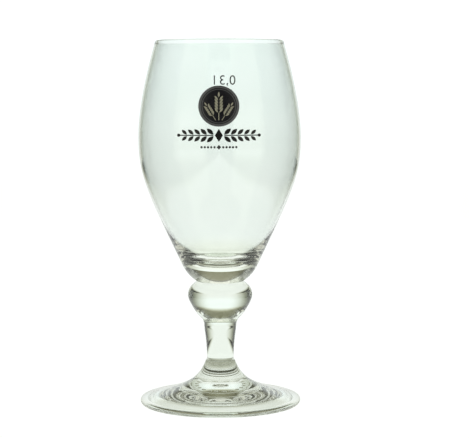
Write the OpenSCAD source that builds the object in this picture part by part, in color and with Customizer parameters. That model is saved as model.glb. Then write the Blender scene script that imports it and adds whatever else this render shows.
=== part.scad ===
// Stemmed beer glass with a printed bowl.
// The bowl is blown with a thick base. The stem with its round knop and the foot are pressed.
// The three are fused hot, face to face. The print is enamel fired on the outside of the bowl.
// Sizes are in millimetres. The glass stands on z = 0, its axis is Z and its badge faces -Y.
// Every turned outline is a chain of curves between stations, and each station's height is
// the sum of the lengths below it, so a change of one length lifts all that it carries.

/* [Foot] */
// Diameter of the foot
foot_diameter = 79.6; // [72:0.2:88]
// Thickness of the foot's full round edge
foot_edge = 3.3; // [2.6:0.1:4.4]
// Height of the foot from the table to its joint with the stem
foot_height = 21.6; // [18:0.2:26]
// Diameter of the collar that the stem is fused to
collar_diameter = 14.4; // [13.4:0.1:18]
// Width of the flat ring that the glass stands on
bearing_ring = 2.4; // [1.4:0.1:4]
// Depth of the hollow under the middle of the foot
hollow_depth = 2.8; // [1.6:0.1:3.6]
// Diameter of the pressed panel under the middle of the foot
panel_diameter = 37.6; // [32:0.2:44]
// Diameter of the inner pressed ring
inner_ring_diameter = 26; // [23:0.2:30]
// Radius of the pressed rings' round section
pressed_ring_radius = 0.55; // [0.3:0.05:0.9]

/* [Relief under the foot] */
// Number of beads in the pressed circle
bead_count = 18; // [8:1:20]
// Diameter of the circle that the beads stand on
bead_circle_diameter = 18.6; // [17:0.2:21]
// Radius of one bead
bead_radius = 0.85; // [0.5:0.05:1.1]
// Radius of the dome in the middle
middle_dome_radius = 3.2; // [2:0.1:4]

/* [Stem] */
// Diameter of the shaft where it meets the foot
shaft_foot_diameter = 13.2; // [12:0.1:13.4]
// Length of the tapering shaft
shaft_length = 17; // [12:0.5:24]
// Diameter at the top of the shaft
shaft_top_diameter = 15.9; // [14:0.1:18]
// Length of the hollow curve between the shaft and the knop
waist_length = 6.4; // [5:0.1:9]
// Diameter where the hollow curve turns into the knop
waist_diameter = 23.1; // [20:0.1:26]
// Length of the knop below its widest place
knop_lower_length = 9.1; // [7:0.1:12]
// Diameter of the knop
knop_diameter = 32; // [28:0.2:36]
// Length of the knop above its widest place
knop_upper_length = 7; // [5.4:0.1:9]
// Diameter of the joint between the knop and the bowl
neck_diameter = 23; // [20:0.1:26]

/* [Bowl] */
// Length of the solid base, from the neck to the start of the open curve
bowl_base_length = 7.7; // [6.4:0.1:9]
// Diameter at the top of the solid base
bowl_base_diameter = 36.9; // [34:0.1:40]
// Length from the top of the solid base to the belly
belly_rise = 64; // [56:0.1:70]
// Diameter of the belly, the widest place of the bowl
belly_diameter = 80.2; // [76:0.2:86]
// Length from the belly to the rim
rim_rise = 47.2; // [42:0.1:54]
// Diameter of the rim
rim_diameter = 63.4; // [58:0.2:68]
// Slope of the bowl at the rim, in degrees from upright
rim_slope = 16; // [10:0.5:20]
// Slope of the bowl at the top of its base, in degrees from upright
base_slope = 25.4; // [20:0.1:32]
// Thickness of the blown wall
wall = 1.1; // [0.8:0.05:1.6]
// Thickness of the round bead at the rim
rim_bead = 1.4; // [1.1:0.05:2]
// Thickness of the glass between the neck and the bottom of the cavity
floor_thickness = 8.8; // [7:0.1:10]
// Height above the neck at which the wall starts to thicken on its way down
thickening_rise = 31.5; // [30:0.5:38]

/* [Badge] */
// Thickness of one layer of fired enamel
enamel = 0.1; // [0.05:0.01:0.2]
// Diameter of the badge
badge_diameter = 19.2; // [16:0.2:22]
// Height of the badge's middle above the belly
badge_above_belly = 15.4; // [13:0.1:17]
// Width of the badge's outer ring
badge_ring_width = 1.15; // [0.6:0.05:1.6]
// Width of the fine line inside the ring
fine_line_width = 0.3; // [0.15:0.05:0.5]
// Gap between the ring and the fine line
fine_line_gap = 0.45; // [0.3:0.05:0.6]

/* [Sheaf of barley on the badge] */
// Clearance between the sheaf and the fine line round it
sheaf_margin = 0.5; // [0.3:0.05:1]
// Pairs of grains on each ear
grain_rows = 5; // [4:1:6]
// Lean of the outer ears, in degrees from upright
ear_lean = 32; // [30:1:34]
// Lean of the grains, in degrees from their stalk
grain_lean = 36; // [32:1:40]

/* [Ornament and beads] */
// Width of the ornament below the badge
ornament_width = 39.4; // [34:0.2:44]
// Gap between the badge and the ornament's lozenge
ornament_gap = 1; // [0.6:0.1:2]
// Height of the lozenge in the middle of the ornament
lozenge_height = 6.2; // [5:0.1:8]
// Width of that lozenge
lozenge_width = 3.8; // [3:0.1:5]
// Width of the ornament's fine rule
rule_width = 0.5; // [0.3:0.05:0.7]
// Pairs of leaves on each side of the ornament
leaf_pairs = 5; // [3:1:6]
// Length of the longest leaf
leaf_length = 4.2; // [3:0.1:4.8]
// Lean of the leaves, in degrees from the rule
leaf_lean = 42; // [34:1:48]
// Gap that the stencil leaves between a leaf and its neighbour or its rule
stencil_gap = 0.14; // [0.06:0.02:0.2]
// Gap between the ornament's lozenge and the row of beads
bead_row_gap = 1.9; // [1:0.1:3]
// Number of beads on each side of the row
row_beads = 5; // [3:1:7]
// Diameter of one bead of the row
row_bead_diameter = 1.1; // [0.6:0.05:1.4]
// Gap between one bead of the row and the next
row_bead_gap = 0.42; // [0.2:0.02:0.8]

/* [Fill line] */
// Drop from the rim to the fill line on the back, which marks 0.3 litre
fill_drop = 24.3; // [16:0.1:30]
// Length of the fill line
fill_line_length = 12; // [8:0.5:18]
// Width of the fill line's stroke
fill_line_width = 0.4; // [0.2:0.05:0.8]

/* [Hidden] */

// Steps of each curve, and facets of the round forms
curve_steps = 12;
round_facets = 144;
dot_facets = 48;
leaf_facets = 180;

// Stations on the way up, each the sum of the lengths below it
shaft_top = foot_height + shaft_length;
waist_top = shaft_top + waist_length;
knop_middle = waist_top + knop_lower_length;
neck = knop_middle + knop_upper_length;
base_top = neck + bowl_base_length;
belly = base_top + belly_rise;
rim = belly + rim_rise;
badge_middle = belly + badge_above_belly;
ornament_middle = badge_middle - badge_diameter / 2 - ornament_gap - lozenge_height / 2;
bead_row_middle = ornament_middle - lozenge_height / 2 - bead_row_gap - row_bead_diameter / 2;

// Directions of travel along an outline, in degrees from the radius outwards
upright = 90;
level_in = 180;
foot_edge_slope = 14;
collar_slope = 70;
waist_slope = 55;
shaft_slope = 86;
neck_to_knop_slope = 52;
neck_to_bowl_slope = 31;
hollow_slope = 38;

// How far each end's pull on a curve reaches, as shares of the curve's chord:
// first the end that the curve leaves, then the end that it reaches
foot_top_shares = [0.6, 0.3];
hollow_shares = [0.3, 0.45];
shaft_shares = [0.5, 0.2];
waist_shares = [0.6, 0.38];
knop_lower_shares = [0.2, 0.25];
knop_upper_shares = [0.59, 0.03];
bowl_base_shares = [0.03, 0.51];
bowl_lower_shares = [0.632, 0.281];
bowl_upper_shares = [0.35, 0.2];
cavity_shares = [0.398, 0.574];

// The round field that the sheaf stays in, and the sheaf's sizes as shares of its radius
field_radius = badge_diameter / 2 - badge_ring_width - fine_line_gap - fine_line_width - sheaf_margin;
sheaf_foot = -0.92 * field_radius;
ear_foot_share = 0.2;
outer_ear_share = 0.74;
stalk_length_share = 0.5;
stalk_width_share = 0.055;
ear_length_share = 1.36;
grain_length_share = 0.38;
grain_fill_share = 1.08;
grain_gap_share = 0.045;

// Sizes of the ornament, as shares of the pieces that carry it
leaf_shrink_share = 0.06;
rule_start_share = 0.66;
rule_end_dot_share = 3;
middle_lozenge_share = 2;

// Outlines

// A point on the cubic curve through four control points, at t from 0 to 1
function cubic(p, t) =
    pow(1 - t, 3) * p[0] + 3 * pow(1 - t, 2) * t * p[1]
    + 3 * (1 - t) * t * t * p[2] + pow(t, 3) * p[3];

function heading(angle) = [cos(angle), sin(angle)];

// A curve that leaves a in one direction and reaches b in another, with a itself left out
function curve(a, b, leaving, reaching, shares) =
    let (
        chord = norm(b - a),
        control = [
            a,
            a + heading(leaving) * chord * shares[0],
            b - heading(reaching) * chord * shares[1],
            b
        ]
    )
    [for (step = [1 : curve_steps]) cubic(control, step / curve_steps)];

// An arc about a middle, from one angle to another, both ends included
function arc(middle, radius, from, to) =
    [for (step = [0 : curve_steps]) middle + radius * heading(from + (to - from) * step / curve_steps)];

function reversed(points) = [for (i = [len(points) - 1 : -1 : 0]) points[i]];

// The outside of the bowl, from the neck up to the foot of the rim bead
rim_edge = [rim_diameter / 2, rim - rim_bead / 2];
bowl_outside = concat(
    [[neck_diameter / 2, neck]],
    curve([neck_diameter / 2, neck], [bowl_base_diameter / 2, base_top],
          neck_to_bowl_slope, upright - base_slope, bowl_base_shares),
    curve([bowl_base_diameter / 2, base_top], [belly_diameter / 2, belly],
          upright - base_slope, upright, bowl_lower_shares),
    curve([belly_diameter / 2, belly], rim_edge, upright, upright + rim_slope, bowl_upper_shares)
);

// The blown wall's inside, which follows the outside at the wall's thickness
blown_wall = [for (p = bowl_outside) if (p[1] > neck + thickening_rise && p[1] < rim - rim_bead)
    [p[0] - wall, p[1]]];
wall_foot = blown_wall[0];
wall_foot_direction = blown_wall[1] - blown_wall[0];
wall_foot_slope = atan2(wall_foot_direction[1], wall_foot_direction[0]);
cavity_floor = [0, neck + floor_thickness];
bowl_inside = concat(
    curve(cavity_floor, wall_foot, 0, wall_foot_slope, cavity_shares),
    [for (i = [1 : len(blown_wall) - 1]) blown_wall[i]]
);

// Litres held up to a level, as a stack of slices between the points of the inside
function slice(a, b, level) =
    let (
        top = min(b[1], level),
        top_radius = a[0] + (b[0] - a[0]) * (top - a[1]) / (b[1] - a[1])
    )
    top <= a[1] ? 0 : PI / 3 * (top - a[1]) * (a[0] * a[0] + a[0] * top_radius + top_radius * top_radius);
cavity_line = concat([cavity_floor], bowl_inside);
function held(level, i = 1) =
    i >= len(cavity_line) ? 0 : slice(cavity_line[i - 1], cavity_line[i], level) + held(level, i + 1);
cubic_mm_in_litre = 1000000;
echo(litres_at_the_fill_line = held(rim - fill_drop) / cubic_mm_in_litre);

// Glass pieces, each a turned outline

// Blown bowl: thick base, wall that thins on its way up, and a round bead at the rim
module bowl() {
    bead_middle = [rim_diameter / 2 - rim_bead / 2, rim - rim_bead / 2];
    color([0.86, 0.93, 0.9, 0.4])
    rotate_extrude($fn = round_facets)
    polygon(concat(
        [[0, neck]],
        bowl_outside,
        arc(bead_middle, rim_bead / 2, 0, level_in),
        reversed(bowl_inside),
        [cavity_floor]
    ));
}

// Pressed stem: tapering shaft, hollow curve, round knop and neck in one piece
module stem() {
    shaft_foot = [shaft_foot_diameter / 2, foot_height];
    shaft_head = [shaft_top_diameter / 2, shaft_top];
    waist_head = [waist_diameter / 2, waist_top];
    knop_widest = [knop_diameter / 2, knop_middle];
    neck_edge = [neck_diameter / 2, neck];
    color([0.84, 0.92, 0.89, 0.5])
    rotate_extrude($fn = round_facets)
    polygon(concat(
        [[0, foot_height], shaft_foot],
        curve(shaft_foot, shaft_head, upright, shaft_slope, shaft_shares),
        curve(shaft_head, waist_head, shaft_slope, waist_slope, waist_shares),
        curve(waist_head, knop_widest, waist_slope, upright, knop_lower_shares),
        curve(knop_widest, neck_edge, upright, level_in - neck_to_knop_slope, knop_upper_shares),
        [[0, neck]]
    ));
}

// Pressed foot: a disc that sweeps up to the collar, hollow below, with a ring to stand on
module foot() {
    edge_radius = foot_edge / 2;
    edge_middle = [foot_diameter / 2 - edge_radius, edge_radius];
    edge_top = edge_middle + [0, edge_radius];
    ring_inside = [edge_middle[0] - bearing_ring, 0];
    panel_edge = [panel_diameter / 2, hollow_depth];
    color([0.82, 0.9, 0.86, 0.5])
    union() {
        rotate_extrude($fn = round_facets)
        polygon(concat(
            [[0, hollow_depth], panel_edge],
            reversed(curve(ring_inside, panel_edge, level_in - hollow_slope, level_in, hollow_shares)),
            [ring_inside],
            arc(edge_middle, edge_radius, -upright, upright),
            curve(edge_top, [collar_diameter / 2, foot_height],
                  level_in - foot_edge_slope, level_in - collar_slope, foot_top_shares),
            [[0, foot_height]]
        ));
        pressed_ring(panel_diameter);
        pressed_ring(inner_ring_diameter);
        for (i = [0 : bead_count - 1])
            rotate([0, 0, i * 360 / bead_count])
            translate([bead_circle_diameter / 2, 0, hollow_depth])
            sphere(bead_radius, $fn = dot_facets);
        middle_dome();
    }
}

// A round bead that runs round the underside of the foot
module pressed_ring(diameter) {
    rotate_extrude($fn = round_facets)
    translate([diameter / 2 - pressed_ring_radius, hollow_depth])
    circle(pressed_ring_radius, $fn = dot_facets);
}

// A shallow dome under the middle of the foot, as low as the beads around it
module middle_dome() {
    sphere_radius = (pow(middle_dome_radius, 2) + pow(bead_radius, 2)) / (2 * bead_radius);
    cap_height = 2 * bead_radius;
    translate([0, 0, hollow_depth - bead_radius + sphere_radius])
    intersection() {
        sphere(sphere_radius, $fn = round_facets);
        translate([0, 0, -sphere_radius])
        cylinder(h = cap_height, r = sphere_radius, $fn = round_facets);
    }
}

// Print

// Cuts the children, drawn as seen from the front, out of one layer of enamel on the bowl.
// Layer 0 lies on the glass and layer 1 on layer 0.
module printed(layer) {
    under = [for (p = bowl_outside) p + [layer * enamel, 0]];
    over = [for (p = bowl_outside) p + [(layer + 1) * enamel, 0]];
    intersection() {
        rotate_extrude($fn = round_facets) polygon(concat(under, reversed(over)));
        rotate([90, 0, 0]) linear_extrude(belly_diameter) children();
    }
}

// A pointed leaf between two arcs, along X, with its middle at the origin
module leaf(length, width) {
    arc_radius = (length * length + width * width) / (4 * width);
    intersection() {
        translate([0, arc_radius - width / 2]) circle(arc_radius, $fn = leaf_facets);
        translate([0, width / 2 - arc_radius]) circle(arc_radius, $fn = leaf_facets);
    }
}

module lozenge(width, height) {
    polygon([[width / 2, 0], [0, height / 2], [-width / 2, 0], [0, -height / 2]]);
}

// The dark round ground of the badge
module badge_ground() {
    color([0.05, 0.05, 0.07])
    printed(0)
    translate([0, badge_middle])
    circle(badge_diameter / 2, $fn = round_facets);
}

// The silver ring at the badge's edge and the fine line inside it
module badge_ring() {
    fine_line_outside = badge_diameter / 2 - badge_ring_width - fine_line_gap;
    color([0.55, 0.56, 0.58])
    printed(1)
    translate([0, badge_middle]) {
        band(badge_diameter / 2, badge_ring_width);
        band(fine_line_outside, fine_line_width);
    }
}

module band(outside, width) {
    difference() {
        circle(outside, $fn = round_facets);
        circle(outside - width, $fn = round_facets);
    }
}

// A sheaf of three ears of barley, the outer two shorter and leaning outwards
module badge_motif() {
    color([0.78, 0.76, 0.66])
    printed(1)
    translate([0, badge_middle + sheaf_foot]) {
        ear(field_radius);
        for (side = [-1, 1])
            translate([side * ear_foot_share * field_radius, 0])
            rotate(-side * ear_lean)
            ear(field_radius * outer_ear_share);
    }
}

// One ear: a stalk, grains in pairs and one grain at the tip, sized by one length
module ear(size) {
    stalk_length = size * stalk_length_share;
    stalk_width = size * stalk_width_share;
    grain_length = size * grain_length_share;
    tip_foot = stalk_length + size * ear_length_share - grain_length;
    grain_pitch = (tip_foot - stalk_length) / grain_rows;
    grain_width = grain_pitch * sin(grain_lean) * grain_fill_share;
    translate([-stalk_width / 2, 0])
    square([stalk_width, stalk_length]);
    for (row = [0 : grain_rows - 1], side = [-1, 1])
        translate([side * size * grain_gap_share, stalk_length + row * grain_pitch])
        rotate(upright - side * grain_lean)
        translate([grain_length / 2, 0])
        leaf(grain_length, grain_width);
    translate([0, tip_foot + grain_length / 2])
    rotate(upright)
    leaf(grain_length, grain_width);
}

// A sprig to each side of a lozenge
module ornament_band() {
    color([0.07, 0.07, 0.08])
    printed(0)
    translate([0, ornament_middle]) {
        lozenge(lozenge_width, lozenge_height);
        for (side = [0, 1]) mirror([side, 0]) sprig();
    }
}

// A fine rule with leaves above and below it, each pair shorter than the last. A leaf is as
// wide as the room between it and the next one allows.
module sprig() {
    dot_radius = rule_end_dot_share * rule_width / 2;
    rule_start = lozenge_width * rule_start_share;
    rule_end = ornament_width / 2 - dot_radius;
    leaf_pitch = (rule_end - rule_start - dot_radius) / leaf_pairs;
    leaf_width = leaf_pitch * sin(leaf_lean) - stencil_gap;
    translate([rule_start, -rule_width / 2]) square([rule_end - rule_start, rule_width]);
    translate([rule_end, 0]) circle(dot_radius, $fn = dot_facets);
    for (i = [0 : leaf_pairs - 1], side = [-1, 1]) {
        size_share = 1 - i * leaf_shrink_share;
        translate([rule_start + i * leaf_pitch, side * (rule_width / 2 + stencil_gap)])
        rotate(side * leaf_lean)
        translate([leaf_length * size_share / 2, 0])
        leaf(leaf_length * size_share, leaf_width * size_share);
    }
}

// A row of small round beads with a lozenge in the middle
module bead_row() {
    lozenge_size = row_bead_diameter * middle_lozenge_share;
    first_bead = lozenge_size / 2 + row_bead_gap + row_bead_diameter / 2;
    color([0.4, 0.4, 0.42])
    printed(0)
    translate([0, bead_row_middle]) {
        lozenge(lozenge_size, lozenge_size);
        for (i = [0 : row_beads - 1], side = [-1, 1])
            translate([side * (first_bead + i * (row_bead_diameter + row_bead_gap)), 0])
            circle(row_bead_diameter / 2, $fn = dot_facets);
    }
}

// The measure's line on the back of the bowl
module fill_line() {
    color([0.45, 0.46, 0.47])
    mirror([0, 1, 0])
    printed(0)
    translate([-fill_line_length / 2, rim - fill_drop - fill_line_width / 2])
    square([fill_line_length, fill_line_width]);
}

bowl();
stem();
foot();
badge_ground();
badge_ring();
badge_motif();
ornament_band();
bead_row();
fill_line();
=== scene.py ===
"""Looks of a stemmed beer glass with a printed bowl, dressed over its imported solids."""

import math

import bmesh
import bpy
from bpy.props import (
    FloatProperty, FloatVectorProperty, IntProperty, PointerProperty, StringProperty)
from bpy.types import Operator, Panel, PropertyGroup
from mathutils import Matrix, Vector


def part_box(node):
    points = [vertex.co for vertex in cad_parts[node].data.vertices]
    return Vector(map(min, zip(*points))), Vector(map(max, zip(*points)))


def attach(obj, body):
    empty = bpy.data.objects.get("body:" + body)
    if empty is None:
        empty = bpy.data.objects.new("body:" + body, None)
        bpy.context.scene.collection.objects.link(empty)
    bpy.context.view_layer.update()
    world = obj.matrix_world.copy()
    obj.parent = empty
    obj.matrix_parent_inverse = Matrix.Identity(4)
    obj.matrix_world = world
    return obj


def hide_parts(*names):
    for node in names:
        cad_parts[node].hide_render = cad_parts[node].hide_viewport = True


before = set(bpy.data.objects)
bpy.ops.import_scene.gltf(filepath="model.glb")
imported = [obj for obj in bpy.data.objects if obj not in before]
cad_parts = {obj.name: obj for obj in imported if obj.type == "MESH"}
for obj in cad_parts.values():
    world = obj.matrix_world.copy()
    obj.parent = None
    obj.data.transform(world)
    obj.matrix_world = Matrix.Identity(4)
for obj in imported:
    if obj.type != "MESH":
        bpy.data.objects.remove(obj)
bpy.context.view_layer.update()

bl_info = {
    "name": "Stemmed beer glass",
    "version": (1, 0, 0),
    "blender": (4, 5, 0),
    "location": "3D View > Sidebar > Beer glass",
    "description": "Builds a clear stemmed beer glass with a fired print, and a studio around it",
    "category": "Add Mesh",
}

MM = 0.001
BODY = "root"

UPRIGHT = 90
ROUND_STEPS = 16
PANEL_STEPS = 96

# Distances in metres below which places count as one: of points, of a pole's points, of a face
# and its joint, and of a point and the panel. The last is for a printed shape of length 1
SAME_PLACE = 1e-7
SAME_POLE = 1e-6
SAME_JOINT = 1e-6
SAME_PANEL = 1e-5
SAME_TIP = 1e-4

# The glass: faint cords in it, each a noise value, and the share of the tint where they are pale
CORD_SCALE = 60.0
CORD_DETAIL = 2.0
CORD_TINT = 0.6
CORD_STRENGTH = 0.012
CORD_DEPTH = 0.4 * MM

# The enamel: its fine grain, its thin places, and how far both change its tone and roughness
GRAIN_SCALE = 2200.0
GRAIN_DETAIL = 3.0
GRAIN_SHARE = 0.6
GRAIN_STRENGTH = 0.25
GRAIN_DEPTH = 0.02 * MM
CLOUD_SCALE = 260.0
CLOUD_DETAIL = 2.0
DARK_TONE = 0.72
LIGHT_TONE = 1.25
LEAST_TONE = 0.002
ROUGHNESS_SPREAD = 0.3
ENAMEL_INDEX = 1.55

# In metres: how far a drawing looks for the bowl, how far the table lies under the shade, and
# the least distance from the camera at which the bright strip is worked out
PRINT_REACH = 2.0
TABLE_DROP = 0.2 * MM
LEAST_AHEAD = 0.05

# Slopes of the outline where two curves meet, in degrees from the radius outwards
NECK_SLOPE = 31
SHAFT_TOP_SLOPE = 86
WAIST_SLOPE = 55
KNOP_TOP_SLOPE = 128
RING_SLOPE = 142
FLAT_INWARDS = 180
EDGE_SLOPE = 166
COLLAR_SLOPE = 110

# How far the two ends of each curve pull it, as shares of its chord
BASE_PULL = (0.03, 0.51)
BODY_PULL = (0.632, 0.281)
SHOULDER_PULL = (0.35, 0.2)
CAVITY_PULL = (0.398, 0.574)
SHAFT_PULL = (0.5, 0.2)
WAIST_PULL = (0.6, 0.38)
KNOP_LOWER_PULL = (0.2, 0.25)
KNOP_UPPER_PULL = (0.59, 0.03)
HOLLOW_PULL = (0.3, 0.45)
FOOT_TOP_PULL = (0.6, 0.3)

# Squareness and sharpness of the printed shapes, and the values that each of them carries
BAR = (2, 0)
BEAD = (2, 0.5)
LEAF = (2, 1)
LOZENGE = (1, 1)
SHAPE_VALUES = ("turn", "length", "width")

# Sizes of an ear of barley, as shares of its size
STALK_LENGTH = 0.5
STALK_WIDTH = 0.055
EAR_LENGTH = 1.86
GRAIN_LENGTH = 0.38
GRAIN_ROOT = 0.045
GRAIN_WIDENING = 1.08

# Places of the sheaf's ears, as shares of the badge's free field
SHEAF_DROP = 0.92
SIDE_EAR_PLACE = 0.2
SIDE_EAR_SIZE = 0.74

# The ornament, as shares: its end dots, the gap beside its lozenge and each next leaf's loss
END_DOT = 1.5
LOZENGE_ROOM = 0.66
LEAF_LOSS = 0.06

# The figure: space between its signs, and the part of its width that holds the first digit
LETTER_SPACING = 1.05
FIRST_DIGIT = 0.2

# Where the studio's light changes: heights in metres, angles from straight behind the glass,
# shares of the foot's diameter, and how steeply the room is seen upwards
WALL_TONE_RISE = (0.02, 0.22)
FRONT_TURN = (math.radians(92), math.radians(112))
BOX_BLUR = 0.1
BOX_REACH = 0.7
MIDDLE_SHADE = (0.12, 0.4)
FOOT_COVER = (0.446, 0.505)
CEILING_RISE = (0.8, 0.9)

bowl_low, bowl_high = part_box("bowl")
stem_low, stem_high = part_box("stem")
foot_low, foot_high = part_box("foot")
badge_low, badge_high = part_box("badge_ground")
ornament_low, ornament_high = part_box("ornament_band")
bead_low, bead_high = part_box("bead_row")
line_low, line_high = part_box("fill_line")


# Properties

def length(name, description, default):
    """A size in metres, shown in the scene's units."""
    return FloatProperty(name=name, description=description, default=default,
                         unit="LENGTH", subtype="DISTANCE", precision=5)


def turn(name, description, degrees):
    """An angle, kept in radians and shown in degrees."""
    return FloatProperty(name=name, description=description, default=math.radians(degrees),
                         unit="ROTATION", subtype="ANGLE")


def share(name, description, default):
    """A plain number between 0 and about 1."""
    return FloatProperty(name=name, description=description, default=default, subtype="FACTOR",
                         soft_min=0, soft_max=1)


def colour(name, description, default):
    """A linear colour."""
    return FloatVectorProperty(name=name, description=description, default=default,
                               subtype="COLOR", size=3, min=0, max=1)


def vivid(name, description, default):
    """A linear colour of light, which may be brighter than white."""
    return FloatVectorProperty(name=name, description=description, default=default,
                               subtype="COLOR", size=3, min=0, max=4)


class GlassSizes(PropertyGroup):
    """Sizes of the three glass pieces. Those that the frame knows come from it."""
    foot_diameter: length("Foot", "Diameter of the foot", foot_high.x - foot_low.x)
    foot_edge: length("Foot edge", "Thickness of the foot's round edge", 3.3 * MM)
    foot_height: length("Foot height", "Height of the joint of foot and stem", foot_high.z)
    collar_diameter: length("Collar", "Diameter of the collar under the stem", 14.4 * MM)
    bearing_ring: length("Bearing ring", "Width of the ring that the glass stands on", 2.4 * MM)
    hollow_depth: length("Hollow", "Depth of the hollow under the foot", 2.8 * MM)
    panel_diameter: length("Panel", "Diameter of the pressed panel under the foot", 37.6 * MM)
    inner_ring_diameter: length("Inner ring", "Diameter of the inner pressed ring", 26 * MM)
    pressed_ring_radius: length("Pressed ring", "Radius of the pressed rings' section", 0.55 * MM)
    bead_circle_diameter: length("Bead circle", "Diameter of the circle of beads", 18.6 * MM)
    bead_radius: length("Bead", "Radius of one bead under the foot", 0.85 * MM)
    middle_dome_radius: length("Dome", "Radius of the dome under the foot", 3.2 * MM)
    bead_count: IntProperty(name="Beads", description="Beads under the foot", default=18, min=3)
    shaft_foot_diameter: length("Shaft foot", "Diameter of the shaft at the foot", 13.2 * MM)
    shaft_top_diameter: length("Shaft top", "Diameter at the top of the shaft", 15.9 * MM)
    shaft_length: length("Shaft", "Length of the shaft", 17 * MM)
    waist_length: length("Waist", "Length of the curve between shaft and knop", 6.4 * MM)
    waist_diameter: length("Waist", "Diameter where the waist turns into the knop", 23.1 * MM)
    knop_lower_length: length("Knop below", "Length of the knop below its middle", 9.1 * MM)
    knop_diameter: length("Knop", "Diameter of the knop", stem_high.x - stem_low.x)
    neck_diameter: length("Neck", "Diameter of the joint of knop and bowl", 23 * MM)
    neck_height: length("Neck height", "Height of the joint of knop and bowl", bowl_low.z)
    bowl_base_length: length("Base", "Length of the bowl's solid base", 7.7 * MM)
    bowl_base_diameter: length("Base", "Diameter at the top of the solid base", 36.9 * MM)
    belly_diameter: length("Belly", "Diameter of the belly", bowl_high.x - bowl_low.x)
    belly_rise: length("Belly rise", "Length from the solid base to the belly", 64 * MM)
    rim_diameter: length("Rim", "Diameter of the rim", 63.4 * MM)
    rim_height: length("Rim height", "Height of the rim", bowl_high.z)
    rim_slope: turn("Rim slope", "Slope of the bowl at the rim, from upright", 16)
    base_slope: turn("Base slope", "Slope at the top of the solid base, from upright", 25.4)
    wall: length("Wall", "Thickness of the blown wall", 1.1 * MM)
    rim_bead: length("Rim bead", "Thickness of the round bead at the rim", 1.4 * MM)
    floor_thickness: length("Floor", "Glass between the neck and the cavity", 8.8 * MM)
    thickening_rise: length("Thickening", "Height above the neck where the wall thickens",
                            31.5 * MM)
    segments: IntProperty(name="Segments", description="Facets round the glass",
                          default=256, min=24)
    curve_steps: IntProperty(name="Curve steps", description="Steps of each curve",
                             default=48, min=4)


class PrintSizes(PropertyGroup):
    """Sizes of the fired print. Its places and outer sizes come from the frame."""
    badge_diameter: length("Badge", "Diameter of the badge", badge_high.z - badge_low.z)
    badge_height: length("Badge height", "Height of the badge's middle",
                         (badge_low.z + badge_high.z) / 2)
    ring_width: length("Ring", "Width of the badge's outer ring", 1.15 * MM)
    line_gap: length("Gap", "Gap between the ring and the fine line", 0.45 * MM)
    line_width: length("Fine line", "Width of the fine line", 0.3 * MM)
    sheaf_margin: length("Margin", "Clearance between the sheaf and the fine line", 0.5 * MM)
    grain_rows: IntProperty(name="Grain rows", description="Pairs of grains on an ear",
                            default=5, min=2)
    ear_lean: turn("Ear lean", "Lean of the outer ears, from upright", 32)
    grain_lean: turn("Grain lean", "Lean of the grains from their stalk", 36)
    ornament_width: length("Ornament", "Width of the ornament", ornament_high.x - ornament_low.x)
    ornament_height: length("Ornament height", "Height of its middle",
                            (ornament_low.z + ornament_high.z) / 2)
    lozenge_height: length("Lozenge", "Height of the lozenge in its middle", 6.2 * MM)
    lozenge_width: length("Lozenge width", "Width of that lozenge", 3.8 * MM)
    rule_width: length("Rule", "Width of the fine rule", 0.5 * MM)
    leaf_pairs: IntProperty(name="Leaf pairs", description="Pairs of leaves on each side",
                            default=5, min=1)
    leaf_length: length("Leaf", "Length of the longest leaf", 4.2 * MM)
    leaf_lean: turn("Leaf lean", "Lean of the leaves from the rule", 42)
    stencil_gap: length("Stencil gap", "Gap between a leaf and its neighbour", 0.14 * MM)
    row_height: length("Row height", "Height of the row of beads", (bead_low.z + bead_high.z) / 2)
    row_bead: length("Row bead", "Diameter of one bead of the row", 1.1 * MM)
    row_gap: length("Row gap", "Gap between two beads of the row", 0.42 * MM)
    row_beads: IntProperty(name="Row beads", description="Beads on each side", default=5, min=1)
    line_length: length("Measure line", "Length of the measure's line", line_high.x - line_low.x)
    line_stroke: length("Measure stroke", "Width of that line", line_high.z - line_low.z)
    line_height: length("Measure height", "Height of that line", (line_low.z + line_high.z) / 2)
    figure: StringProperty(name="Figure", description="Volume up to the line", default="0,3\u2009l")
    figure_height: length("Figure height", "Height of the figure", 4.9 * MM)
    figure_gap: length("Figure gap", "Gap between the line and the figure", 2.4 * MM)
    figure_shift: length("Figure shift", "Figure beside the line's middle", 2.4 * MM)
    enamel: length("Enamel", "Thickness of one layer of enamel", 0.1 * MM)
    sink: length("Sink", "How far the enamel is fused into what carries it", 0.02 * MM)


class GlassLooks(PropertyGroup):
    """Colours of the glass and the enamels, and what the light does in them."""
    clear: colour("Clear glass", "Tint of the blown glass", (0.9, 0.94, 0.915))
    deep: colour("Deep", "Tint of the bowl's thick base", (0.9, 0.927, 0.852))
    deep_top: length("Deep top", "Height at which the bowl's thin wall has its own tint", 0.082)
    deep_bottom: length("Deep bottom", "Height below which the tint of its base is full", 0.07)
    # Painted shade: the dark outline painted where the blown glass is seen along its wall
    clear_edge_shade: colour("Clear edge", "Tint of the blown glass seen along its wall",
                       (0.06, 0.075, 0.06))
    thick: colour("Thick glass", "Tint of the pressed glass", (0.82, 0.87, 0.8))
    # Painted shade: the dark outline painted where the pressed glass is seen along its surface
    thick_edge_shade: colour("Thick edge", "Tint of the pressed glass seen along its surface",
                       (0.07, 0.07, 0.05))
    # Facing value at which that painted edge shade begins
    edge_shade_start: share("Edge start", "Facing value at which the edge tint starts", 0.65)
    ior: FloatProperty(name="IOR", description="Refractive index of the glass", default=1.475)
    ground: colour("Ground", "Dark ground of the badge", (0.008, 0.008, 0.014))
    silver: colour("Silver", "Ring of the badge", (0.17, 0.175, 0.19))
    pale: colour("Pale", "Ear of barley", (0.52, 0.5, 0.39))
    black: colour("Black", "Ornament below the badge", (0.006, 0.006, 0.007))
    grey: colour("Grey", "Beads and measure", (0.06, 0.06, 0.065))


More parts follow.
